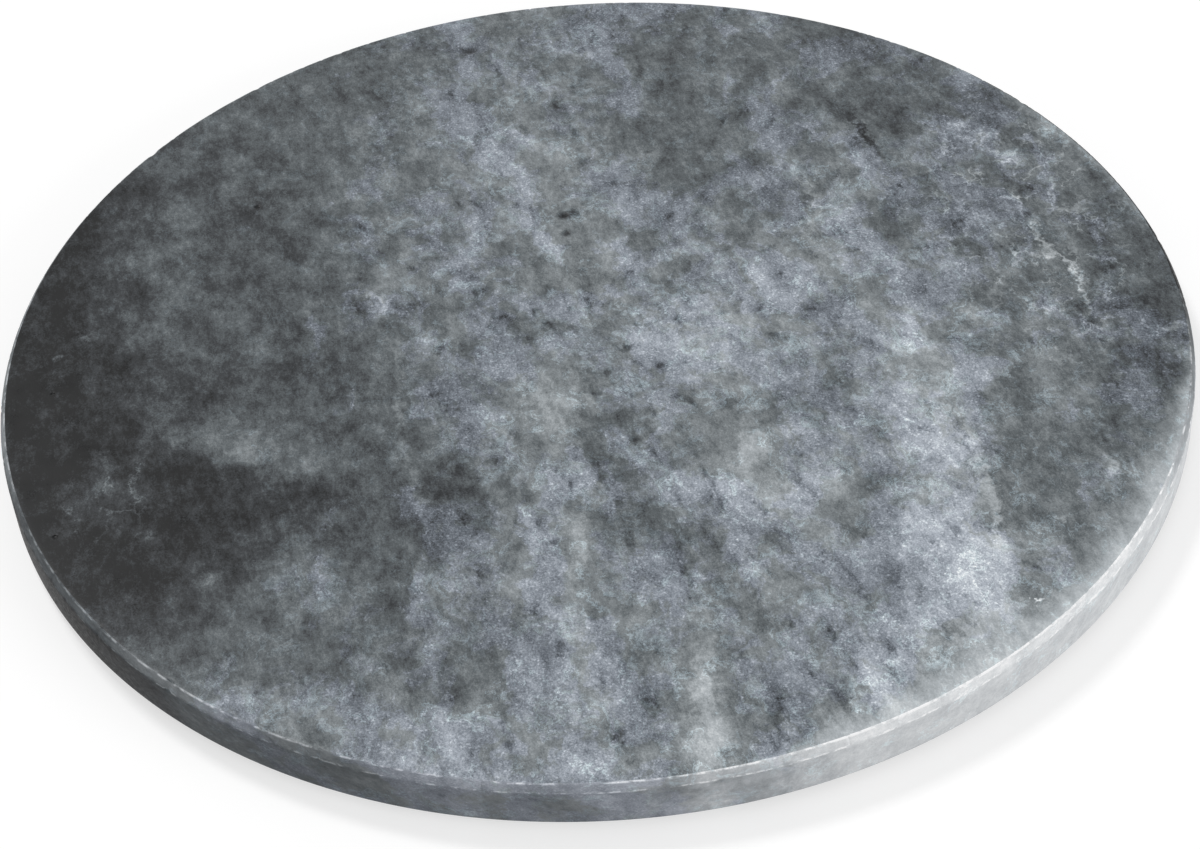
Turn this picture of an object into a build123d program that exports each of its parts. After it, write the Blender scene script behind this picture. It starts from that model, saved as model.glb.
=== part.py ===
"""Round marble rolling board (chakla): a ground and polished stone slab on four stick-on rubber pads.

Millimetres, +Z up. The origin is on the worktop, under the middle of the board.
"""

from build123d import *
from math import radians, tan
import os

# Stone slab: a 12 inch disc cut from 12 mm marble
slab_diameter = 304.8
slab_thickness = 12.0
top_bevel_width = 1.2  # how far the worked top edge runs in from the wall
top_bevel_depth = 1.9  # how far it runs down the wall
bottom_edge_radius = 1.0

# Rubber pads: moulded discs with a drafted side, a bevelled foot and grip grooves underneath
pad_count = 4
pad_inset = 28.0  # stone left bare between the wall of the slab and a pad
first_pad_angle = 45.0
pad_diameter = 16.0  # across the seat, where a pad is widest
pad_height = 2.0
pad_draft_angle = 8.0
pad_foot_bevel = 0.5
grip_centre_diameter = 5.0  # plain disc in the middle of the foot
grip_groove_width = 1.0
grip_groove_depth = 0.5
grip_land_width = 1.2  # rubber left standing between two grooves

# Adhesive discs: die-cut double-sided film between each pad and the stone
adhesive_thickness = 0.3
adhesive_margin = 0.5  # rubber left bare round the film

# Heights above the worktop
pad_seat = pad_height
slab_underside = pad_seat + adhesive_thickness
slab_top = slab_underside + slab_thickness

# What follows from the sizes above
slab_radius = slab_diameter / 2
pad_radius = pad_diameter / 2
pad_circle_radius = slab_radius - pad_inset - pad_radius
foot_flat_radius = pad_radius - pad_height * tan(radians(pad_draft_angle)) - pad_foot_bevel
grip_centre_radius = grip_centre_diameter / 2
groove_pitch = grip_groove_width + grip_land_width
groove_count = int((foot_flat_radius - grip_centre_radius) / groove_pitch)
adhesive_radius = pad_radius - adhesive_margin

pad_names = ("back_right", "back_left", "front_left", "front_right")
full_turn = 360


def make_slab():
    """Turns the slab from its section: plumb wall, bevelled top edge, rounded bottom edge."""
    with BuildPart() as slab:
        with BuildSketch(Plane.XZ) as section:
            with BuildLine():
                Polyline(
                    (0, slab_underside),
                    (slab_radius, slab_underside),
                    (slab_radius, slab_top - top_bevel_depth),
                    (slab_radius - top_bevel_width, slab_top),
                    (0, slab_top),
                    close=True,
                )
            make_face()
            bottom_corner = section.vertices().group_by(Axis.Y)[0].sort_by(Axis.X)[-1]
            fillet(bottom_corner, bottom_edge_radius)
        revolve(axis=Axis.Z)
    return slab


def make_pad(place):
    """Moulds one pad: a drafted disc with a bevelled foot, and round grip grooves let in from below."""
    with BuildPart() as pad:
        with BuildSketch(Plane.XY.offset(pad_seat)):
            with Locations(place):
                Circle(pad_radius)
        extrude(amount=-pad_height, taper=pad_draft_angle)
        foot_edge = pad.edges().filter_by(GeomType.CIRCLE).sort_by(Axis.Z)[0]
        chamfer(foot_edge, pad_foot_bevel)
        with BuildSketch():
            with Locations(place):
                for groove in reversed(range(groove_count)):
                    inner_radius = grip_centre_radius + groove * groove_pitch
                    Circle(inner_radius + grip_groove_width)
                    Circle(inner_radius, mode=Mode.SUBTRACT)
        extrude(amount=grip_groove_depth, mode=Mode.SUBTRACT)
    return pad


def make_adhesive(place):
    """Cuts the round film that fills the space between one pad and the stone."""
    with BuildPart() as film:
        with BuildSketch(Plane.XY.offset(pad_seat)):
            with Locations(place):
                Circle(adhesive_radius)
        extrude(amount=adhesive_thickness)
    return film


def save(piece, name):
    """Labels one finished piece and writes it as its own STEP file."""
    piece.part.label = name
    export_step(piece.part, f"parts/{name}.step")


os.makedirs("parts", exist_ok=True)
save(make_slab(), "marble_slab")
for index, pad_name in enumerate(pad_names[:pad_count]):
    pad_angle = first_pad_angle + index * full_turn / pad_count
    pad_place = Vector(pad_circle_radius, 0).rotate(Axis.Z, pad_angle)
    save(make_pad(pad_place), f"rubber_pad_{pad_name}")
    save(make_adhesive(pad_place), f"adhesive_disc_{pad_name}")
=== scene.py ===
"""Round grey marble rolling board on a white table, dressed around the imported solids.

Metres, +Z up, origin on the table under the middle of the board. The stone's markings are placed in
millimetres from the middle of the board, x to the right and y away from the viewer, and their strengths
are grey levels out of 255.
"""

import math

import bmesh
import bpy
from mathutils import Matrix, Vector, noise


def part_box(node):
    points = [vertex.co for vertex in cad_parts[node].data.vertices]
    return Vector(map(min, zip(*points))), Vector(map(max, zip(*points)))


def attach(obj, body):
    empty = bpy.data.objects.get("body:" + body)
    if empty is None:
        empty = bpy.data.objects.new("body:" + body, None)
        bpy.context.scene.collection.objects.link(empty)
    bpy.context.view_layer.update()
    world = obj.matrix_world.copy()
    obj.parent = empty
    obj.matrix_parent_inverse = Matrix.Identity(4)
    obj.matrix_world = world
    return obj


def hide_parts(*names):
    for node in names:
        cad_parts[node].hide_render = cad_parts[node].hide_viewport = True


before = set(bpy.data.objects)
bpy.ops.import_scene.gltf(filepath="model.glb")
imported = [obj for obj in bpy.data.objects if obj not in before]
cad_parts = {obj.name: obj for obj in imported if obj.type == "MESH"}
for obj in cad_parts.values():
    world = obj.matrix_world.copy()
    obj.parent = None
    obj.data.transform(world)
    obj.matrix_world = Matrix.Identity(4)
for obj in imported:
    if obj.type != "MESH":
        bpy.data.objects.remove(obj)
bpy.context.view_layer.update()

MM = 0.001

slab_low, slab_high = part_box("marble_slab")
SLAB_RADIUS = slab_high.x
SLAB_BASE = slab_low.z
SLAB_TOP = slab_high.z
PAD_NAMES = ("back_right", "back_left", "front_left", "front_right")

# Edge of the slab, as cut: the top bevel, the softened lines beside it, and the round at the bottom
BEVEL_WIDTH = 1.2 * MM
BEVEL_DEPTH = 1.9 * MM
ARRIS_SOFTENING = 0.3 * MM
BOTTOM_ROUND = 1.0 * MM
RIM_STEPS = 1800
RIM_BAND = 4.0 * MM
RIM_BAND_RINGS = 8
ARRIS_SEGMENTS = 4
BOTTOM_SEGMENTS = 5
SAME_RING = 0.02 * MM
SHARP_ANGLE = math.radians(28)

# Wear of the top edge: how far from the edge it reaches, its share, and the radius its noise is read at
WEAR_REACH = 0.9 * MM
WEAR_SHARE = 0.6
WEAR_NOISE_RADIUS = 152

# Open pits in the top face: x, y, radius, length over width, lean in degrees, depth
PITS = (
    (-5.6, 48.6, 1.4, 1.15, 10, 0.28),
    (-5.2, 40.6, 1.3, 1.1, 20, 0.28),
    (8.6, 61.0, 0.9, 1.3, 60, 0.14),
    (-30.0, 130.4, 1.7, 1.5, 10, 0.16),
    (3.0, 126.5, 1.2, 1.4, 70, 0.12),
    (-1.2, -137.6, 1.0, 1.8, 60, 0.16),
    (-89.5, 62.5, 0.9, 1.3, 35, 0.20),
    (-13.0, -109.5, 1.1, 1.3, 10, 0.12),
    (-132.5, -62.0, 0.6, 1.1, 0, 0.20),
    (-138.6, -9.5, 0.5, 1.2, 0, 0.20),
    (8.5, -43.0, 1.0, 1.3, 20, 0.14),
    (-13.0, -76.5, 1.0, 1.4, 10, 0.14),
    (19.0, 74.5, 0.9, 1.2, 0, 0.12),
    (37.5, 2.5, 0.8, 1.2, 0, 0.12),
)
PIT_CORNERS = 28
PIT_COLLAR = 1.35
PIT_RAGGEDNESS = 0.16

# Rings of a pit from its collar inwards: size against the ring before, and share of the depth
PIT_RINGS = ((0.82, 0.0), (0.90, 0.14), (0.88, 0.45), (0.80, 0.76), (0.65, 0.94), (0.45, 1.0))

# Dark stain round a pit: its reach against the radius, and grey levels per millimetre of depth
PIT_STAIN = 1.7
PIT_SHADE = -300

# Pads: the same section as the solids, with softened lips
PAD_HEIGHT = 2.0 * MM
PAD_RADIUS = 8.0 * MM
PAD_DRAFT = math.radians(8)
FOOT_ROUND = 0.5 * MM
GROOVES = ((2.5 * MM, 3.5 * MM), (4.7 * MM, 5.7 * MM))
GROOVE_DEPTH = 0.5 * MM
GROOVE_LIP = 0.12 * MM
DIMPLE = ((0.7 * MM, 0), (0.5 * MM, 0.12 * MM), (0, 0.15 * MM))
FOOT_FLARE = 0.06 * MM
FOOT_STEPS = 6
PAD_STEPS = 96

# Camera, fitted to the two outlines of the disc in the photograph
VIEW_DISTANCE = 4.5 * SLAB_RADIUS
VIEW_ELEVATION = math.radians(40.95)
VIEW_TILT_DOWN = math.radians(42.27)
VIEW_ROLL = math.radians(-4.32)
VIEW_LENS = 78.9

# Sheen of the stone, tint of its ground edge, and brightness of the table and of the room
STONE_SPECULAR = 0.12
GROUND_TINT = (1.0, 0.975, 0.975, 1)
TABLE_GREY = 0.44
TABLE_GLOW = 0.61
TABLE_SIZE = 4
ROOM_LIGHT = 0.45

# Lamps: name, place, size, watts
LAMPS = (
    ("key", (-0.95, 1.3, 2.35), 0.55, 34),
    ("right fill", (1.7, -1.3, 0.6), 1.2, 24),
    ("left fill", (-2.0, -0.3, 0.6), 0.8, 4),
)

# Levels of the markings: the stone between its clouds, the painted glow on its rim of light from the right
# coming through the edge, and white
CLOUD_BASE = 117
PAINTED_RIM_LIGHT_LEVEL = 216
WHITE_LEVEL = 255

# Where the pattern of crystal patches passes into crystal
CRYSTAL_START = 0.605

# Millimetres that a flat pattern runs outwards for each millimetre of depth down the wall
WALL_UNROLLING = 2.0

# Strengths of the fine patterns in grey levels; the grain has one outside and one inside the crystals
MOTTLING_TONE = 215.0
CRYSTAL_TONE = 17.0
THREAD_TONE = 44.0
SPOT_TONE = -46.0
GRAIN_TONES = (46.0, 96.0)
# Pale crystal specks, partly painted glints
SPECK_AND_GLINT_TONE = 32.0
NET_TONE = 44.0

# Grey levels that the edge gains: in its worn lines, which are wear and a painted highlight; on the bevel,
# as painted light; and in parts of the rim, as painted light and painted shade
POLISHED_LINE_WEAR_AND_HIGHLIGHT = 70.0
GROUND_LINE_WEAR_AND_HIGHLIGHT = 90.0
PAINTED_BEVEL_LIGHT = 18.0
PAINTED_LEFT_BEVEL_LIGHT = 44.0
PAINTED_RIGHT_BEVEL_SHADE = -105.0
PAINTED_FRONT_LEFT_SHADE = -24.0
PAINTED_LEFT_END_LIGHT = 60.0

# Parts of the rim that take painted light and painted shade: name, heading in degrees, and the cosines to it
# at which a part begins and is full
RIM_PARTS = (
    # Wall takes the painted glow, Front left and Right bevel painted shade, Left bevel and Left end painted
    # light
    ("Wall", -42, 0.68, 0.90),
    ("Front left", -124, 0.90, 0.99),
    ("Left bevel", -152, 0.82, 0.98),
    ("Right bevel", 8, 0.70, 1.0),
    ("Left end", 178, 0.93, 0.99),
)

# Broad light and dark clouds of the stone: x, y, width, height, lean in degrees, grey levels
CLOUDS = (
    # The first cloud darkens the whole left end of the board, top and wall alike
    (-165, -15, 132, 200, 0, -98),
    (-114, 6, 30, 46, 0, 20),
    (-118, -95, 75, 85, 20, -34),
    (-58, -60, 85, 34, -8, -36),
    (-37, -57, 22, 26, 0, -12),
    (-56, -86, 20, 34, 10, -20),
    (-85, 42, 40, 50, 0, -18),
    (-62, -16, 26, 56, 0, -20),
    (-136, 78, 44, 46, 0, -14),
    (-75, 112, 76, 64, -20, -18),
    (-117, 56, 28, 36, 0, 30),
    (-104, 26, 40, 30, 0, 20),
    (-80, -39, 50, 15, -28, 36),
    (-122, -50, 17, 28, 0, 24),
    (-72, -79, 34, 28, 0, 30),
    (-92, -116, 46, 28, -38, 40),
    (-46, 32, 16, 22, 0, 12),
    (-40, 45, 20, 44, 14, -12),
    (-18, 68, 50, 70, 12, 16),
    (-38, 102, 16, 45, 14, 9),
    (13, 129, 10, 22, 6, 18),
    (-14, 73, 8, 14, 0, -10),
    (22, 96, 30, 90, 4, -17),
    (27, 118, 15, 26, 0, -9),
    (52, 112, 14, 24, 0, -12),
    (26, 142, 28, 18, 0, -18),
    (-54, 134, 34, 22, 0, -18),
    (85, 88, 46, 30, -8, -30),
    (84, 120, 40, 26, -30, -30),
    (122, 80, 22, 26, 30, -30),
    (70, 62, 24, 34, 10, 10),
    (55, 20, 30, 20, 0, 14),
    (42, 5, 14, 20, 0, 12),
    (24, -3, 26, 28, 0, 26),
    (35, -12, 80, 70, 0, 14),
    (60, 0, 14, 14, 0, -12),
    (60, -22, 20, 22, 0, -18),
    (38, -61, 34, 22, 10, 38),
    (43, -40, 24, 14, 0, -20),
    (22, -76, 18, 18, 0, -12),
    (3, -50, 15, 62, 4, -18),
    (-12, -27, 18, 20, 0, 24),
    (-22, -60, 30, 42, 0, 26),
    (-36, -18, 16, 20, 0, -14),
    (-14, 2, 22, 18, 0, -14),
    (82, -48, 25, 104, 4, 42),
    (80, -114, 40, 62, -12, 46),
    (62, -127, 10, 12, 0, -14),
    (99, -72, 20, 84, 0, -8),
    (145, -5, 34, 90, 0, -28),
    (138, -38, 22, 44, 0, -10),
    (101, 4, 10, 28, 0, -10),
    (85, 4, 16, 22, 0, -12),
    (89, 40, 18, 16, 0, -14),
    (80, 101, 44, 16, 0, 14),
    (132, 68, 14, 18, 0, 22),
    (88, 44, 12, 20, 0, -12),
    (77, 42, 10, 16, 0, 10),
    (114, 4, 20, 14, 0, 14),
    (134, 33, 10, 26, 0, -14),
    (74, -28, 20, 24, 0, -13),
    (112, 36, 22, 34, 0, -16),
    (92, -18, 14, 22, 0, 16),
    (118, -22, 24, 26, 0, 12),
    (0, 32, 18, 30, 0, 14),
    (30, -28, 20, 16, 0, 14),
    (50, -72, 16, 18, 0, 16),
    (58, -104, 14, 24, 0, -18),
    (42, -108, 14, 40, 0, 12),
    (8, -147, 26, 14, 0, 30),
    (51, -133, 10, 13, 0, 28),
    (-60, -112, 24, 36, 0, -12),
    (-62, 25, 18, 48, 0, 13),
    (-36, 0, 10, 11, 0, 14),
    (-36, -66, 10, 24, 0, -13),
    (-14, -66, 22, 15, 0, 13),
    (-1, -100, 14, 16, 0, 12),
    (24, 12, 16, 18, 0, -13),
    (12, 30, 12, 16, 0, -12),
    (51, 85, 10, 50, 0, -11),
    (-7, 72, 10, 24, 0, 12),
    (-132, 68, 18, 26, 0, -14),
    (54, 62, 20, 18, 0, -14),
    (15, -105, 110, 70, 0, 12),
    (-10, -116, 18, 60, 4, 16),
    (-42, -140, 36, 26, 0, 26),
    (-32, -109, 24, 20, 0, -22),
    (8, -124, 12, 36, 4, -12),
    (18, -137, 9, 34, -4, 34),
    (28, -112, 12, 24, 0, -12),
    (42, -127, 12, 30, 10, -12),
    (58, -136, 18, 22, 0, 26),
)

# Small clear marks and single veins: x, y, width, height, lean in degrees, grey levels
MARKS = (
    # Pits and dark spots
    (8.6, 61.0, 9, 9, 0, -24),
    (-7.5, 87, 6, 6, 0, -20),
    (-30.0, 130.4, 9, 6, 10, -24),
    (79.8, 74.7, 1.6, 17, 20, -60),
    (74, 86, 5, 12, 20, -18),
    (48.5, -133, 2.2, 10, 12, -44),
    (34, -138, 2.2, 16, 5, -44),
    (16.6, -79, 11, 12, 0, -24),
    (42, -81, 9, 10, 0, -16),
    (65, -79, 12, 12, 0, -24),
    (66, -57, 11, 14, 0, -12),
    (23, -70, 9, 8, 0, -16),
    (62, -128, 7, 7, 0, -22),
    (96, -100, 8, 24, 0, -18),
    (95, -62, 7, 40, 0, -14),
    (-38, -52, 9, 13, -20, -20),
    (-60, 17, 10, 12, 0, -12),
    # Pale patches and streaks
    (-103, -30, 12, 8, 0, 26),
    (-88, -37, 24, 9, -32, 20),
    (-74, -45, 12, 7, -20, 18),
    (-7, -62, 3.4, 44, 0, 16),
    (-7, -79, 4.4, 16, 0, 26),
    (19, -126, 5, 36, -3, 34),
    (18, -146, 8, 12, 0, 16),
    (-12, -27, 12, 16, 0, 24),
    (36, -48, 8, 11, 0, 30),
    (76, -26, 7, 26, 0, 14),
    (-118, -46, 9, 10, 20, 16),
    (-120, -58, 10, 6, 0, 20),
    (-94, -80, 3.0, 4.0, 20, 44),
    (97, -108, 1.7, 1.1, 30, 130),
    (94.6, -106.6, 1.1, 0.9, 0, 80),
    (106.3, -81.4, 3.0, 2.2, 0, 46),
    (121.4, -65, 2.6, 5, -10, 50),
    (83, -17, 6, 3, 0, 34),
    (-133, 12, 2.4, 2.4, 0, 60),
    (-139, 4, 2.0, 1.8, 0, 50),
    # Veins
    (-55.5, 17, 2.6, 11, 15, 46),
    (-55, 20, 6, 3, 0, 26),
    (-50, -20, 1.8, 52, 2, 26),
    (-44.5, -60, 2.6, 26, 14, 34),
    (116.5, 40, 1.3, 13, 0, 50),
    (126.3, 42, 1.3, 13, -14, 50),
    (129, 34.5, 9, 1.6, 0, 40),
    (119.5, 24, 1.2, 12, 6, 52),
    (123.5, 14, 1.5, 16, 26, 64),
    (127, 2, 1.4, 11, 4, 56),
    (112, 16, 1.2, 9, -20, 34),
    (131, 36, 8, 1.2, 12, 34),
    (127, -6, 1.6, 9, -14, 40),
    (117, 58, 6, 2.2, 20, 28),
    (97, 45, 1.8, 15, 5, 22),
    (129, 71, 4, 7, 25, 30),
    (107, 77, 11, 3, 28, 30),
    (112, 70, 3, 8, -10, 26),
    (60.5, 57, 1.8, 13, 12, 28),
    (63, 45, 2.2, 14, 5, 28),
    (60, 36, 2.0, 12, -25, 28),
    (51.5, 63.5, 8, 1.6, -30, 26),
    (90.5, -62, 2.0, 26, 4, 34),
    (91, -83, 1.8, 12, -8, 44),
    (87.6, -48, 1.5, 24, 4, -30),
    (92.5, -70, 2.4, 24, 2, -20),
    (84, -52, 2.0, 22, 2, 18),
    (83, -92, 1.8, 26, -2, 16),
    (70, -104, 1.6, 22, 6, -16),
    (76, -70, 1.6, 26, 4, -14),
    (146, -16.5, 7, 2.0, 25, 48),
)

# Patches crossed by fine pale veins: x, y, width, height, lean in degrees, share
VEINED_PATCHES = (
    (117, 30, 44, 100, 8, 1.0),
    (62, 48, 26, 40, 10, 0.5),
    (-120, -52, 22, 34, 0, 0.9),
)

# Patches of smooth, fine-grained stone with no lilac crystals: x, y, width, height, lean in degrees, share
SMOOTH_PATCHES = (
    (-12, -27, 18, 26, 0, 1.0),
    (36, -48, 14, 16, 0, 1.0),
    (18, -130, 9, 46, -4, 1.0),
    (-7, -78, 5, 20, 0, 0.9),
    (-88, -36, 50, 14, -28, 1.0),
    (-10, 22, 26, 12, 0, 0.7),
    (85, -24, 10, 26, 0, 0.6),
    (30, 85, 26, 60, 0, 0.5),
    (105, -60, 26, 80, 0, 0.6),
    (-150, -10, 130, 240, 0, 0.9),
    (-80, 100, 60, 60, 0, 0.5),
)


# Meshes

def turn_rings(bm, points, steps):
    """Turns an open shell round Z: a first ring, pulled out ring by ring to each radius and height."""
    radius, height = points[0]
    ring = bmesh.ops.create_circle(bm, cap_ends=False, segments=steps, radius=radius)["verts"]
    bmesh.ops.translate(bm, verts=ring, vec=(0, 0, height))
    edges = list({edge for vert in ring for edge in vert.link_edges})
    for next_radius, next_height in points[1:]:
        made = bmesh.ops.extrude_edge_only(bm, edges=edges)["geom"]
        ring = [item for item in made if isinstance(item, bmesh.types.BMVert)]
        edges = [item for item in made if isinstance(item, bmesh.types.BMEdge)]
        growth = next_radius / radius
        bmesh.ops.scale(bm, verts=ring, vec=(growth, growth, 1))
        bmesh.ops.translate(bm, verts=ring, vec=(0, 0, next_height - height))
        radius, height = next_radius, next_height


def spin_section(bm, points, place, steps):
    """Spins a section, given as radius and height, once round the upright line through a place."""
    corners = [bm.verts.new((place.x + radius, place.y, height)) for radius, height in points]
    edges = [bm.edges.new(pair) for pair in zip(corners, corners[1:])]
    bmesh.ops.spin(
        bm, geom=corners + edges, cent=place, axis=(0, 0, 1), angle=math.tau, steps=steps, use_merge=True
    )


def ring_edges(bm, radius, height):
    """The level edges of one ring round the middle of the board."""
    def on_ring(vert):
        return abs(vert.co.z - height) < SAME_RING and abs(vert.co.xy.length - radius) < SAME_RING
    return [edge for edge in bm.edges if all(on_ring(vert) for vert in edge.verts)]


def round_ring(bm, radius, height, amount, segments):
    """Rounds one ring of edges."""
    bmesh.ops.bevel(
        bm, geom=ring_edges(bm, radius, height), offset=amount, offset_type="OFFSET",
        affect="EDGES", segments=segments, profile=0.5, material=-1,
    )


def rim_wear(angle):
    """How far the worn top edge stands back at an angle: a slow waver, and sparse small chips."""
    place = Vector((math.cos(angle), math.sin(angle), 0)) * WEAR_NOISE_RADIUS
    waver = 0.07 * (0.5 + 0.5 * noise.noise(place * 0.07)) + 0.05 * (0.5 + 0.5 * noise.noise(place * 0.3))
    chip = max(0.0, noise.noise(place * 0.21 + Vector((0, 0, 31))) - 0.42) * 1.6
    fine = max(0.0, noise.noise(place * 0.9 + Vector((0, 0, 7))) - 0.30) * 0.5
    return (waver + chip + fine) * MM


def wear_top_edge(bm):
    """Pushes the top edge in by its wear, so that the bright line along it breaks up as on used stone."""
    for vert in bm.verts:
        radius = vert.co.xy.length
        inward = max(0.0, SLAB_RADIUS - BEVEL_WIDTH - radius)
        downward = max(0.0, SLAB_TOP - BEVEL_DEPTH - vert.co.z)
        share = max(0.0, 1 - inward / WEAR_REACH) * max(0.0, 1 - downward / WEAR_REACH)
        if share > 0:
            push = WEAR_SHARE * share * rim_wear(math.atan2(vert.co.y, vert.co.x))
            vert.co.z -= push
            vert.co.xy *= (radius - push) / radius


def open_pit(bm, place, radius, stretch, lean, depth):
    """A shallow open pit: a slightly ragged mouth in a flat collar, drawn down ring by ring to a bowl."""
    turn = Matrix.Rotation(math.radians(lean), 4, "Z")
    shape = Matrix.Translation(place) @ turn @ Matrix.Diagonal((radius * stretch, radius, 1, 1))
    mouth = bmesh.ops.create_circle(
        bm, cap_ends=True, segments=PIT_CORNERS, radius=PIT_COLLAR, matrix=shape
    )["verts"]
    for vert in mouth:
        away = vert.co - place
        vert.co = place + away * (1 + PIT_RAGGEDNESS * noise.noise(away * 900 + place * 70))
    floor = list({face for vert in mouth for face in vert.link_faces})
    sunk = 0.0
    for share, drop in PIT_RINGS:
        floor = bmesh.ops.extrude_discrete_faces(bm, faces=floor)["faces"]
        ring = list(floor[0].verts)
        bmesh.ops.scale(bm, verts=ring, vec=(share, share, 1), space=Matrix.Translation(-place))
        bmesh.ops.translate(bm, verts=ring, vec=(0, 0, (sunk - drop) * depth))
        sunk = drop


def finish_piece(bm, name, materials):
    """Turns a bmesh into a smooth-shaded piece at the origin that rides on the board."""
    bmesh.ops.recalc_face_normals(bm, faces=bm.faces)
    mesh = bpy.data.meshes.new(name)
    bm.to_mesh(mesh)
    bm.free()
    mesh.shade_smooth()
    mesh.set_sharp_from_angle(angle=SHARP_ANGLE)
    for material in materials:
        mesh.materials.append(material)
    piece = bpy.data.objects.new(name, mesh)
    bpy.context.scene.collection.objects.link(piece)
    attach(piece, "root")
    return piece


def make_slab(materials):
    """The stone: turned edge, worn top line, and a flat top face filled in round its open pits."""
    bm = bmesh.new()
    bevel_radius = SLAB_RADIUS - BEVEL_WIDTH
    face_radius = bevel_radius - RIM_BAND
    band = [
        (face_radius + RIM_BAND * ring / RIM_BAND_RINGS, SLAB_TOP) for ring in range(RIM_BAND_RINGS)
    ]
    section = band + [
        (bevel_radius, SLAB_TOP),
        (SLAB_RADIUS, SLAB_TOP - BEVEL_DEPTH),
        (SLAB_RADIUS, (SLAB_TOP + SLAB_BASE) / 2),
        (SLAB_RADIUS, SLAB_BASE),
        (face_radius, SLAB_BASE),
    ]
    turn_rings(bm, section, RIM_STEPS)
    round_ring(bm, bevel_radius, SLAB_TOP, ARRIS_SOFTENING, ARRIS_SEGMENTS)
    round_ring(bm, SLAB_RADIUS, SLAB_TOP - BEVEL_DEPTH, ARRIS_SOFTENING, ARRIS_SEGMENTS)
    round_ring(bm, SLAB_RADIUS, SLAB_BASE, BOTTOM_ROUND, BOTTOM_SEGMENTS)
    wear_top_edge(bm)

    bmesh.ops.edgeloop_fill(bm, edges=ring_edges(bm, face_radius, SLAB_BASE))
    for x, y, radius, stretch, lean, depth in PITS:
        open_pit(bm, Vector((x * MM, y * MM, SLAB_TOP)), radius * MM, stretch, lean, depth * MM)
    outlines = [edge for edge in bm.edges if edge.is_boundary]
    bmesh.ops.triangle_fill(bm, use_beauty=True, use_dissolve=False, edges=outlines, normal=(0, 0, 1))
    for face in bm.faces:
        centre = face.calc_center_median()
        if centre.xy.length > bevel_radius - ARRIS_SOFTENING:
            face.material_index = 1
        elif centre.z < (SLAB_TOP + SLAB_BASE) / 2:
            face.material_index = 2
    slab = finish_piece(bm, "dressed_marble_slab", materials)
    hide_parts("marble_slab")


def make_pad(name, material):
    """One moulded pad: drafted side, rounded foot, and grip grooves with softened lips."""
    low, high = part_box(f"rubber_pad_{name}")
    place = Vector(((low.x + high.x) / 2, (low.y + high.y) / 2, 0))
    side_radius = PAD_RADIUS - PAD_HEIGHT * math.tan(PAD_DRAFT)
    section = [(0, PAD_HEIGHT), (PAD_RADIUS, PAD_HEIGHT)]
    for step in range(FOOT_STEPS + 1):
        share = step / FOOT_STEPS
        angle = share * math.pi / 2
        section.append((
            side_radius - FOOT_ROUND + FOOT_ROUND * math.cos(angle) + FOOT_FLARE * (1 - share),
            FOOT_ROUND - FOOT_ROUND * math.sin(angle),
        ))
    for inner, outer in reversed(GROOVES):
        section += [
            (outer + GROOVE_LIP, 0), (outer + 0.3 * GROOVE_LIP, 0.3 * GROOVE_LIP), (outer, GROOVE_LIP),
            (outer - GROOVE_LIP, GROOVE_DEPTH - GROOVE_LIP), (outer - 2 * GROOVE_LIP, GROOVE_DEPTH),
            (inner + 2 * GROOVE_LIP, GROOVE_DEPTH), (inner + GROOVE_LIP, GROOVE_DEPTH - GROOVE_LIP),
            (inner, GROOVE_LIP), (inner - 0.3 * GROOVE_LIP, 0.3 * GROOVE_LIP), (inner - GROOVE_LIP, 0),
        ]
    section += DIMPLE
    bm = bmesh.new()
    spin_section(bm, section, place, PAD_STEPS)
    bmesh.ops.remove_doubles(bm, verts=bm.verts, dist=0.001 * MM)
    pad = finish_piece(bm, f"moulded_pad_{name}", [material])
    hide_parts(f"rubber_pad_{name}")


# Node helpers

def feed(tree, socket, value):
    """Links a socket to another one, or sets its plain value."""
    if isinstance(value, bpy.types.NodeSocket):
        tree.links.new(value, socket)
    elif value is not None:
        socket.default_value = value


def calculate(tree, operation, first, second=None, third=None):
    """One sum on plain numbers."""
    node = tree.nodes.new("ShaderNodeMath")
    node.operation = operation
    for socket, value in zip(node.inputs, (first, second, third)):
        feed(tree, socket, value)
    return node.outputs["Value"]


def vector_sum(tree, operation, first, second=None, scale=None):
    """One sum on places; a length comes out as a number."""
    node = tree.nodes.new("ShaderNodeVectorMath")
    node.operation = operation
    feed(tree, node.inputs[0], first)
    feed(tree, node.inputs[1], second)
    if operation == "SCALE":
        feed(tree, node.inputs["Scale"], scale)
    return node.outputs["Value" if operation in ("LENGTH", "DOT_PRODUCT") else "Vector"]


def fade(tree, value, start, end, low=0.0, high=1.0):
    """Eases from low to high while the value goes from start to end; this curve stops at its ends itself."""
    node = tree.nodes.new("ShaderNodeMapRange")
    node.interpolation_type = "SMOOTHSTEP"
    node.clamp = False
    for socket, given in zip(node.inputs, (value, start, end, low, high)):
        feed(tree, socket, given)
    return node.outputs["Result"]


def rescale(tree, value, start, end, low=0.0, high=1.0):
    """Carries a value straight from one range to another, and stops at its ends."""
    node = tree.nodes.new("ShaderNodeMapRange")
    for socket, given in zip(node.inputs, (value, start, end, low, high)):
        feed(tree, socket, given)
    return node.outputs["Result"]


def mottle(tree, place, size, detail, roughness, colour=False):
    """Soft fractal noise with patches about one size across, in millimetres."""
    node = tree.nodes.new("ShaderNodeTexNoise")
    node.noise_dimensions = "2D"
    feed(tree, node.inputs["Vector"], place)
    node.inputs["Scale"].default_value = 1 / size
    node.inputs["Detail"].default_value = detail
    node.inputs["Roughness"].default_value = roughness
    return node.outputs["Color" if colour else "Fac"]


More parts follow.
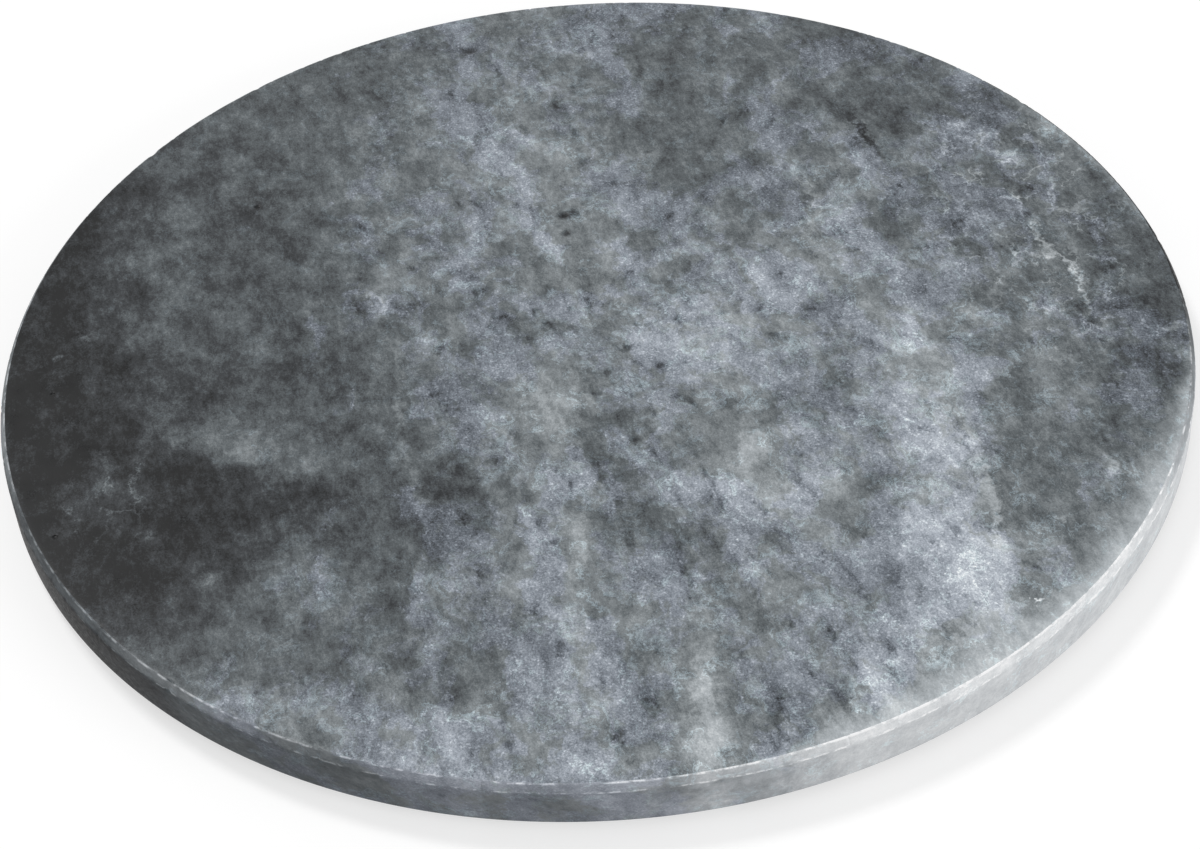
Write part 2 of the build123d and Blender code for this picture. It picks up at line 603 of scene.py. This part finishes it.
def cells(tree, place, size, feature="F1", output="Distance"):
    """Grains about one size across, in millimetres."""
    node = tree.nodes.new("ShaderNodeTexVoronoi")
    node.voronoi_dimensions = "2D"
    node.feature = feature
    feed(tree, node.inputs["Vector"], place)
    node.inputs["Scale"].default_value = 1 / size
    return node.outputs[output]


def centred(tree, value):
    """A pattern shifted so that it swings about nought."""
    return calculate(tree, "SUBTRACT", value, 0.5)


def drift(tree, place, size, detail, roughness, reach):
    """Soft pushes to and fro, over a reach in millimetres."""
    push = mottle(tree, place, size, detail, roughness, colour=True)
    push = vector_sum(tree, "SUBTRACT", push, (0.5, 0.5, 0.5))
    return vector_sum(tree, "SCALE", push, scale=reach)


def turn_and_stretch(tree, place, location=(0, 0, 0), lean=0.0, size=(1, 1, 1)):
    """Places measured in a frame of its own: moved, leant and stretched."""
    node = tree.nodes.new("ShaderNodeMapping")
    node.vector_type = "TEXTURE"
    feed(tree, node.inputs["Vector"], place)
    node.inputs["Location"].default_value = location
    node.inputs["Rotation"].default_value = (0, 0, math.radians(lean))
    node.inputs["Scale"].default_value = size
    return node.outputs["Vector"]


def blend_colours(tree, factor, first, second, mode="MIX"):
    """Mixes two colours."""
    node = tree.nodes.new("ShaderNodeMix")
    node.data_type = "RGBA"
    node.blend_type = mode
    feed(tree, node.inputs["Factor"], factor)
    feed(tree, node.inputs["A"], first)
    feed(tree, node.inputs["B"], second)
    return node.outputs["Result"]


def screen_colour(red, green, blue):
    """A colour given in grey levels out of 255, as Blender's linear colour."""
    def linear(level):
        share = level / WHITE_LEVEL
        return share / 12.92 if share <= 0.04045 else ((share + 0.055) / 1.055) ** 2.4
    return (linear(red), linear(green), linear(blue), 1.0)


def colour_scale(tree, value, stops):
    """A run of colours; each stop is a grey level out of 255 and the colour there."""
    node = tree.nodes.new("ShaderNodeValToRGB")
    feed(tree, node.inputs["Fac"], value)
    elements = node.color_ramp.elements
    for index, (level, colour) in enumerate(stops):
        if index < 2:
            elements[index].position = level / WHITE_LEVEL
        else:
            elements.new(level / WHITE_LEVEL)
        elements[index].color = screen_colour(*colour)
    return node.outputs["Color"]


def start_group(name, inputs, outputs):
    """An empty node group with named sockets; gives the group and its two ends."""
    group = bpy.data.node_groups.new(name, "ShaderNodeTree")
    for socket_name, kind, value in inputs:
        socket = group.interface.new_socket(socket_name, in_out="INPUT", socket_type=f"NodeSocket{kind}")
        socket.default_value = value
    for socket_name, kind in outputs:
        group.interface.new_socket(socket_name, in_out="OUTPUT", socket_type=f"NodeSocket{kind}")
    return group, group.nodes.new("NodeGroupInput").outputs, group.nodes.new("NodeGroupOutput").inputs


def use_group(tree, group, **given):
    """Places a node group with its own values, and gives its outputs."""
    node = tree.nodes.new("ShaderNodeGroup")
    node.node_tree = group
    for name, value in given.items():
        feed(tree, node.inputs[name.replace("_", " ")], value)
    return node.outputs


# Effects that several finishes share

def place_group():
    """Places on the board in millimetres, for the broad clouds, the fine patterns and the single marks.

    Unrolled places grow outwards with the depth below the top face, so that a flat pattern runs on down
    the wall as if it were folded over the edge, and isn't drawn out into upright stripes there.
    """
    group, _, made = start_group("Place in millimetres", (), (
        ("Place", "Vector"), ("Unrolled", "Vector"), ("Ruffled", "Vector"), ("Swirled", "Vector"),
        ("Frayed", "Vector"), ("Radius", "Float"),
    ))
    object_place = group.nodes.new("ShaderNodeTexCoord").outputs["Object"]
    place = vector_sum(group, "SCALE", object_place, scale=1 / MM)
    height = vector_sum(group, "DOT_PRODUCT", place, (0, 0, 1))
    growth = rescale(group, height, 0.0, SLAB_TOP / MM, 1 + WALL_UNROLLING * SLAB_TOP / SLAB_RADIUS, 1.0)
    unrolled = vector_sum(group, "SCALE", place, scale=growth)
    fray = drift(group, unrolled, 4.5, 4, 0.65, 9.0)
    ruffle = vector_sum(group, "ADD", drift(group, unrolled, 22, 3, 0.6, 24.0), fray)
    feed(group, made["Place"], place)
    feed(group, made["Unrolled"], unrolled)
    feed(group, made["Ruffled"], vector_sum(group, "ADD", place, ruffle))
    feed(group, made["Swirled"], vector_sum(group, "ADD", unrolled, ruffle))
    feed(group, made["Frayed"], vector_sum(group, "ADD", place, fray))
    feed(group, made["Radius"], vector_sum(group, "LENGTH", vector_sum(group, "MULTIPLY", place, (1, 1, 0))))
    return group


def cloud_sum(tree, place, clouds, start=0.0):
    """Adds up soft oval clouds that reach right through the slab, those of one lean after each other.

    The sum starts from a plain number. Begun with a pattern instead, it overfills the renderer's store.
    """
    total = start
    held_lean = None
    for x, y, width, height, lean, strength in sorted(clouds, key=lambda cloud: cloud[4]):
        if lean != held_lean:
            leant = turn_and_stretch(tree, place, lean=lean)
            held_lean = lean
        centre = Matrix.Rotation(math.radians(-lean), 2) @ Vector((x, y))
        inside = tree.nodes.new("ShaderNodeVectorMath")
        inside.operation = "MULTIPLY_ADD"
        feed(tree, inside.inputs[0], leant)
        inside.inputs[1].default_value = (1 / width, 1 / height, 0)
        inside.inputs[2].default_value = (-centre.x / width, -centre.y / height, 0)
        cloud = fade(tree, vector_sum(tree, "LENGTH", inside.outputs["Vector"]), 1.0, 0.0, 0.0, strength)
        total = calculate(tree, "ADD", cloud, total)
    return total


def painted_rim_light_and_shade_group(places):
    """Painted light and shade near the rim: how far the top face is lightened near its rim, a painted glow
    of light from the right coming through the edge, and which part of the rim a place is in, for the painted
    light and shade of those parts.
    """
    parts = tuple((part, "Float") for part, heading, start, end in RIM_PARTS)
    group, _, made = start_group("Painted light and shade on rim", (), (("Rim", "Float"),) + parts)
    where = use_group(group, places)
    flat = vector_sum(group, "NORMALIZE", vector_sum(group, "MULTIPLY", where["Place"], (1, 1, 0)))
    ragged = centred(group, mottle(group, where["Unrolled"], 7, 4, 0.6))

    def towards(degrees, start, end):
        heading = (math.cos(math.radians(degrees)), math.sin(math.radians(degrees)), 0)
        along = vector_sum(group, "DOT_PRODUCT", flat, heading)
        return fade(group, calculate(group, "MULTIPLY_ADD", ragged, 0.05, along), start, end)

    reach = calculate(group, "MULTIPLY_ADD", ragged, 3.0, where["Radius"])
    share = towards(-44, 0.74, 0.985)
    inner = calculate(group, "MULTIPLY_ADD", share, -12.0, 152.0)
    rim = fade(group, reach, inner, 154.0, 0.0, 0.86)
    rim = calculate(group, "MULTIPLY", fade(group, share, 0.0, 0.35), rim)
    faint = fade(group, reach, 146.5, 153.0, 0.0, 0.42)
    faint = calculate(group, "MULTIPLY", towards(26, 0.93, 0.985), faint)
    feed(group, made["Rim"], calculate(group, "ADD", rim, faint))
    for part, heading, start, end in RIM_PARTS:
        feed(group, made[part], towards(heading, start, end))
    return group


def vein_net(tree, unrolled, ruffled):
    """Thin pale veins that join into a net, in two parts of the stone."""
    bent = vector_sum(tree, "ADD", unrolled, drift(tree, unrolled, 6, 4, 0.65, 13.0))
    net = cells(tree, turn_and_stretch(tree, bent, (4, 0, 0), 8, (1, 1.7, 1)), 9.5, "DISTANCE_TO_EDGE")
    lines = fade(tree, net, 0.075, 0.0)
    patch = cloud_sum(tree, ruffled, VEINED_PATCHES)
    breaks = fade(tree, mottle(tree, unrolled, 8, 3, 0.6), 0.40, 0.60)
    lines = calculate(tree, "MULTIPLY", lines, breaks)
    return calculate(tree, "MULTIPLY", lines, fade(tree, patch, 0.1, 0.6))


def ridge(tree, value, middle, reach):
    """A line where a value passes through its middle, fading out over a reach."""
    away = calculate(tree, "ABSOLUTE", calculate(tree, "SUBTRACT", value, middle))
    return fade(tree, away, reach, 0.0)


def marking_group(places):
    """The stone's markings: its colour, with light and shade painted in where Lift and Pale carry them, and
    the pattern of its grains.
    """
    group, given, made = start_group(
        "Marble markings", (("Lift", "Float", 0.0), ("Pale", "Float", 0.0), ("Calm", "Float", 0.0)),
        (("Color", "Color"), ("Grain", "Float")),
    )
    where = use_group(group, places)
    unrolled = where["Unrolled"]
    drawn = turn_and_stretch(group, unrolled, lean=12, size=(1.0, 1.6, 1.0))
    swirled = turn_and_stretch(group, where["Swirled"], lean=12, size=(1.0, 2.0, 1.0))

    broad = cloud_sum(group, where["Ruffled"], CLOUDS, float(CLOUD_BASE))
    # Painted glow: Pale draws the level towards the lit level of the rim, and makes the stone there smoother
    # and calmer
    paler = calculate(group, "SUBTRACT", float(PAINTED_RIM_LIGHT_LEVEL), broad)
    broad = calculate(group, "MULTIPLY_ADD", given["Pale"], paler, broad)
    smooth = cloud_sum(group, where["Frayed"], SMOOTH_PATCHES)
    smooth = calculate(group, "ADD", smooth, given["Pale"])
    liveliness = fade(group, broad, 40.0, 125.0, 1.1, 1.0)
    liveliness = calculate(group, "MULTIPLY", liveliness, rescale(group, given["Calm"], 0.0, 1.0, 1.0, 0.5))

    # Lilac crystal patches with ragged edges, more of them where the stone is light
    chance = mottle(group, swirled, 15, 8, 0.70)
    chance = calculate(group, "MULTIPLY_ADD", broad, 0.0012, chance)
    chance = calculate(group, "MULTIPLY_ADD", smooth, -0.3, chance)
    crystal = fade(group, chance, CRYSTAL_START, CRYSTAL_START + 0.08)
    calm = rescale(group, crystal, 0.0, 1.0, 0.92, 1.0)

    # Ragged mottling at every size from a few tenths of a millimetre up
    ragged = centred(group, mottle(group, drawn, 9, 6, 0.88))
    ragged = calculate(group, "MULTIPLY", ragged, calm)
    change = calculate(group, "MULTIPLY", ragged, MOTTLING_TONE)
    change = calculate(group, "MULTIPLY_ADD", centred(group, crystal), CRYSTAL_TONE, change)

    # Pale threads, along the edges of the crystal patches and on their own, broken along their length
    breaks = fade(group, mottle(group, unrolled, 9, 4, 0.6), 0.42, 0.58)
    breaks = calculate(group, "MULTIPLY", breaks, fade(group, broad, 80.0, 140.0, 0.35, 1.0))
    threads = ridge(group, mottle(group, swirled, 12, 5, 0.62), 0.5, 0.022)
    threads = calculate(group, "MAXIMUM", threads, ridge(group, chance, CRYSTAL_START + 0.01, 0.02))
    threads = calculate(group, "MULTIPLY", threads, breaks)
    change = calculate(group, "MULTIPLY_ADD", threads, THREAD_TONE, change)

    # Soft dark spots
    spots = fade(group, mottle(group, drawn, 4.6, 4, 0.62), 0.40, 0.22)
    spots = calculate(group, "MULTIPLY", spots, fade(group, chance, 0.50, 0.66, 0.3, 1.0))
    change = calculate(group, "MULTIPLY_ADD", spots, SPOT_TONE, change)

    # Crystal grains, and pale specks among the crystals that are partly painted glints
    grain = mottle(group, unrolled, 0.5, 2, 0.8)
    strength = rescale(group, crystal, 0.0, 1.0, *GRAIN_TONES)
    change = calculate(group, "MULTIPLY_ADD", centred(group, grain), strength, change)
    specks_and_glints = vector_sum(group, "DOT_PRODUCT", cells(group, unrolled, 0.48, output="Color"), (1, 0, 0))
    specks_and_glints = calculate(group, "MULTIPLY", fade(group, specks_and_glints, 0.86, 0.98), crystal)
    change = calculate(group, "MULTIPLY_ADD", specks_and_glints, SPECK_AND_GLINT_TONE, change)

    level = calculate(group, "MULTIPLY_ADD", change, liveliness, broad)
    veins = vein_net(group, unrolled, where["Ruffled"])
    level = calculate(group, "MULTIPLY_ADD", veins, NET_TONE, level)
    level = calculate(group, "ADD", level, cloud_sum(group, where["Frayed"], MARKS))
    stains = cloud_sum(group, where["Place"], [
        (x, y, PIT_STAIN * radius * stretch, PIT_STAIN * radius, lean, PIT_SHADE * depth)
        for x, y, radius, stretch, lean, depth in PITS
    ])
    level = calculate(group, "ADD", level, stains)
    level = calculate(group, "ADD", level, given["Lift"])
    share = calculate(group, "DIVIDE", level, float(WHITE_LEVEL))
    smooth_stone = colour_scale(group, share, (
        (20, (19, 20, 21)), (60, (57, 60, 63)), (100, (95, 101, 104)), (140, (135, 141, 144)),
        (180, (176, 182, 186)), (230, (226, 231, 233)), (255, (251, 254, 255)),
    ))
    crystal_stone = colour_scale(group, share, (
        (20, (19, 20, 22)), (60, (57, 60, 64)), (100, (94, 100, 108)), (140, (133, 140, 149)),
        (180, (173, 180, 190)), (230, (224, 231, 237)), (255, (251, 254, 255)),
    ))
    thread_stone = colour_scale(group, share, (
        (20, (18, 20, 22)), (60, (54, 60, 65)), (100, (90, 102, 109)), (140, (129, 142, 150)),
        (180, (168, 183, 190)), (230, (219, 232, 236)), (255, (251, 254, 255)),
    ))
    colour = blend_colours(group, crystal, smooth_stone, crystal_stone)
    feed(group, made["Color"], blend_colours(group, threads, colour, thread_stone))
    feed(group, made["Grain"], grain)
    return group


def edge_wear_and_highlight_group(places):
    """Bruised, whitish stone and a painted highlight along the two lines of the bevel, broken along its
    length.
    """
    group, _, made = start_group("Edge wear and highlight", (), (("Lines", "Float"), ("Bevel", "Float")))
    where = use_group(group, places)
    height = vector_sum(group, "DOT_PRODUCT", where["Place"], (0, 0, 1))
    top = SLAB_TOP / MM
    bevel_foot = top - BEVEL_DEPTH / MM
    arris = (SLAB_RADIUS - BEVEL_WIDTH) / MM
    broken = fade(group, mottle(group, where["Unrolled"], 5, 5, 0.7), 0.44, 0.62)
    upper = ridge(group, where["Radius"], arris, 0.45)
    upper = calculate(group, "MULTIPLY", upper, ridge(group, height, top, 0.5))
    lower = ridge(group, height, bevel_foot, 0.35)
    lines = calculate(group, "MAXIMUM", upper, calculate(group, "MULTIPLY", lower, 0.7))
    feed(group, made["Lines"], calculate(group, "MULTIPLY", lines, broken))
    feed(group, made["Bevel"], fade(group, height, bevel_foot - 0.5, bevel_foot + 0.6))
    return group


# Finishes

def start_material(name):
    """An empty material; gives its tree and its shader."""
    material = bpy.data.materials.new(name)
    material.use_nodes = True
    tree = material.node_tree
    return material, tree, tree.nodes["Principled BSDF"]


def set_relief(tree, shader, height, distance):
    """Feeds a height to the shader as a bump of one depth in millimetres."""
    bump = tree.nodes.new("ShaderNodeBump")
    bump.inputs["Distance"].default_value = distance * MM
    feed(tree, bump.inputs["Height"], height)
    feed(tree, shader.inputs["Normal"], bump.outputs["Normal"])


def polished_marble(places, markings, painted_rim_light_and_shade, edge_wear_and_highlight):
    """Top face: honed and lightly polished."""
    material, tree, shader = start_material("polished marble")
    where = use_group(tree, places)
    wear = use_group(tree, edge_wear_and_highlight)["Lines"]
    # Painted glow near the rim
    pale = use_group(tree, painted_rim_light_and_shade)["Rim"]
    # The worn lines: wear and a painted highlight
    lift = calculate(tree, "MULTIPLY", wear, POLISHED_LINE_WEAR_AND_HIGHLIGHT)
    marble = use_group(tree, markings, Lift=lift, Pale=pale, Calm=pale)
    feed(tree, shader.inputs["Base Color"], marble["Color"])
    haze = mottle(tree, where["Unrolled"], 9, 4, 0.6)
    rough = rescale(tree, haze, 0.3, 0.7, 0.22, 0.34)
    rough = calculate(tree, "MULTIPLY_ADD", wear, 0.15, rough)
    feed(tree, shader.inputs["Roughness"], calculate(tree, "MULTIPLY_ADD", marble["Grain"], 0.10, rough))
    shader.inputs["Specular IOR Level"].default_value = STONE_SPECULAR
    set_relief(tree, shader, marble["Grain"], 0.02)
    return material


def ground_marble(places, markings, painted_rim_light_and_shade, edge_wear_and_highlight):
    """Bevel, wall and bottom round: ground by hand tool, not polished."""
    material, tree, shader = start_material("ground marble")
    where = use_group(tree, places)
    pale = use_group(tree, painted_rim_light_and_shade)
    wear = use_group(tree, edge_wear_and_highlight)
    # Painted light on the bevel, more on its front left
    bevel = calculate(tree, "MULTIPLY_ADD", pale["Left bevel"], PAINTED_LEFT_BEVEL_LIGHT, PAINTED_BEVEL_LIGHT)
    # Painted shade on the bevel at the right
    bevel = calculate(tree, "MULTIPLY_ADD", pale["Right bevel"], PAINTED_RIGHT_BEVEL_SHADE, bevel)
    lift = calculate(tree, "MULTIPLY", wear["Bevel"], bevel)
    # Painted shade on the ground edge at the front left
    lift = calculate(tree, "MULTIPLY_ADD", pale["Front left"], PAINTED_FRONT_LEFT_SHADE, lift)
    # Painted light on the ground edge at the left end
    lift = calculate(tree, "MULTIPLY_ADD", pale["Left end"], PAINTED_LEFT_END_LIGHT, lift)
    # The worn lines: wear and a painted highlight
    lift = calculate(tree, "MULTIPLY_ADD", wear["Lines"], GROUND_LINE_WEAR_AND_HIGHLIGHT, lift)
    # The wall's painted glow of light from the right
    marble = use_group(tree, markings, Lift=lift, Pale=pale["Wall"], Calm=1.0)
    ground = blend_colours(tree, 1.0, marble["Color"], GROUND_TINT, "MULTIPLY")
    feed(tree, shader.inputs["Base Color"], ground)
    rub = mottle(tree, where["Unrolled"], 1.6, 4, 0.6)
    feed(tree, shader.inputs["Roughness"], rescale(tree, rub, 0.3, 0.7, 0.40, 0.60))
    shader.inputs["Specular IOR Level"].default_value = STONE_SPECULAR
    set_relief(tree, shader, rub, 0.05)
    return material


def sawn_marble(places, markings):
    """Underside: sawn and only ground flat."""
    material, tree, shader = start_material("sawn marble")
    where = use_group(tree, places)
    marble = use_group(tree, markings, Lift=10.0)
    feed(tree, shader.inputs["Base Color"], marble["Color"])
    saw = mottle(tree, turn_and_stretch(tree, where["Unrolled"], lean=20, size=(60, 1, 1)), 1.3, 3, 0.6)
    feed(tree, shader.inputs["Roughness"], rescale(tree, saw, 0.3, 0.7, 0.6, 0.8))
    shader.inputs["Specular IOR Level"].default_value = STONE_SPECULAR
    set_relief(tree, shader, saw, 0.08)
    return material


def moulded_rubber(places):
    """Black pads, matt from the mould."""
    material, tree, shader = start_material("moulded rubber")
    where = use_group(tree, places)
    bloom = mottle(tree, where["Unrolled"], 3, 4, 0.6)
    pores = mottle(tree, where["Unrolled"], 0.25, 3, 0.6)
    feed(tree, shader.inputs["Base Color"], colour_scale(tree, bloom, (
        (60, (34, 34, 35)), (190, (52, 52, 53)),
    )))
    feed(tree, shader.inputs["Roughness"], rescale(tree, pores, 0.3, 0.7, 0.62, 0.8))
    set_relief(tree, shader, pores, 0.03)
    return material


def milky_film(places):
    """Die-cut foam film, milky and slightly mottled by its cells."""
    material, tree, shader = start_material("milky film")
    where = use_group(tree, places)
    foam = cells(tree, where["Unrolled"], 0.3)
    blotch = mottle(tree, where["Unrolled"], 4, 3, 0.6)
    feed(tree, shader.inputs["Base Color"], colour_scale(tree, blotch, (
        (60, (216, 214, 204)), (190, (232, 230, 222)),
    )))
    feed(tree, shader.inputs["Roughness"], rescale(tree, foam, 0.0, 0.6, 0.5, 0.7))
    set_relief(tree, shader, foam, 0.02)
    return material


# Stage, light and camera

def seen_straight(tree):
    """1 for what is seen, also in a reflection or through clear stuff, and 0 for what only gives light."""
    rays = tree.nodes.new("ShaderNodeLightPath").outputs
    seen = calculate(tree, "MAXIMUM", rays["Is Camera Ray"], rays["Is Glossy Ray"])
    return calculate(tree, "MAXIMUM", seen, rays["Is Transmission Ray"])


def white_table():
    """White ground that keeps the board's shadow and can be seen through from below."""
    material = bpy.data.materials.new("white table")
    material.use_nodes = True
    tree = material.node_tree
    tree.nodes.clear()
    seen = seen_straight(tree)
    matt = tree.nodes.new("ShaderNodeBsdfDiffuse")
    matt.inputs["Color"].default_value = (TABLE_GREY, TABLE_GREY, TABLE_GREY, 1)
    glow = tree.nodes.new("ShaderNodeEmission")
    feed(tree, glow.inputs["Strength"], calculate(tree, "MULTIPLY", seen, TABLE_GLOW))
    both = tree.nodes.new("ShaderNodeAddShader")
    feed(tree, both.inputs[0], matt.outputs[0])
    feed(tree, both.inputs[1], glow.outputs[0])
    clear = tree.nodes.new("ShaderNodeBsdfTransparent")
    choice = tree.nodes.new("ShaderNodeMixShader")
    feed(tree, choice.inputs["Fac"], tree.nodes.new("ShaderNodeNewGeometry").outputs["Backfacing"])
    feed(tree, choice.inputs[1], both.outputs[0])
    feed(tree, choice.inputs[2], clear.outputs[0])
    feed(tree, tree.nodes.new("ShaderNodeOutputMaterial").inputs["Surface"], choice.outputs[0])
    return material


def make_table():
    """A wide white ground for the board to stand on."""
    bm = bmesh.new()
    bmesh.ops.create_grid(bm, x_segments=1, y_segments=1, size=TABLE_SIZE)
    mesh = bpy.data.meshes.new("table")
    bm.to_mesh(mesh)
    bm.free()
    mesh.materials.append(white_table())
    table = bpy.data.objects.new("table", mesh)
    bpy.context.scene.collection.objects.link(table)


def light_room():
    """Even light from all round, and a background that is white where it is seen."""
    world = bpy.data.worlds.new("studio")
    bpy.context.scene.world = world
    world.use_nodes = True
    tree = world.node_tree
    background = tree.nodes["Background"]
    background.inputs["Color"].default_value = (1, 1, 1, 1)
    seen = seen_straight(tree)
    feed(tree, background.inputs["Strength"], rescale(tree, seen, 0.0, 1.0, ROOM_LIGHT, 1.0))


def add_softbox(name, place, size, power):
    """A square soft light that faces the board."""
    data = bpy.data.lights.new(name, "AREA")
    data.size = size
    data.energy = power
    lamp = bpy.data.objects.new(name, data)
    lamp.location = place
    lamp.rotation_euler = (-Vector(place)).to_track_quat("-Z", "Y").to_euler()
    bpy.context.scene.collection.objects.link(lamp)


def add_camera():
    """The photograph's camera."""
    data = bpy.data.cameras.new("camera")
    data.lens = VIEW_LENS
    data.clip_start = 0.01
    camera = bpy.data.objects.new("camera", data)
    place = Vector((
        0, -VIEW_DISTANCE * math.cos(VIEW_ELEVATION), SLAB_BASE + VIEW_DISTANCE * math.sin(VIEW_ELEVATION),
    ))
    tilt = Matrix.Rotation(math.pi / 2 - VIEW_TILT_DOWN, 4, "X")
    roll = Matrix.Rotation(VIEW_ROLL, 4, "Z")
    camera.matrix_world = Matrix.Translation(place) @ tilt @ roll
    bpy.context.scene.collection.objects.link(camera)
    bpy.context.scene.camera = camera


def dress_board():
    """Makes the pieces, and gives every solid that stays its own finish."""
    places = place_group()
    markings = marking_group(places)
    painted_rim_light_and_shade = painted_rim_light_and_shade_group(places)
    edge_wear_and_highlight = edge_wear_and_highlight_group(places)
    rubber = moulded_rubber(places)
    film = milky_film(places)
    make_slab([
        polished_marble(places, markings, painted_rim_light_and_shade, edge_wear_and_highlight),
        ground_marble(places, markings, painted_rim_light_and_shade, edge_wear_and_highlight),
        sawn_marble(places, markings),
    ])
    for name in PAD_NAMES:
        make_pad(name, rubber)
        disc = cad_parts[f"adhesive_disc_{name}"]
        for slot in disc.material_slots:
            slot.material = film


dress_board()
make_table()
light_room()
for lamp_name, lamp_place, lamp_size, lamp_power in LAMPS:
    add_softbox(lamp_name, lamp_place, lamp_size, lamp_power)
add_camera()
bpy.context.scene.view_settings.view_transform = "Standard"
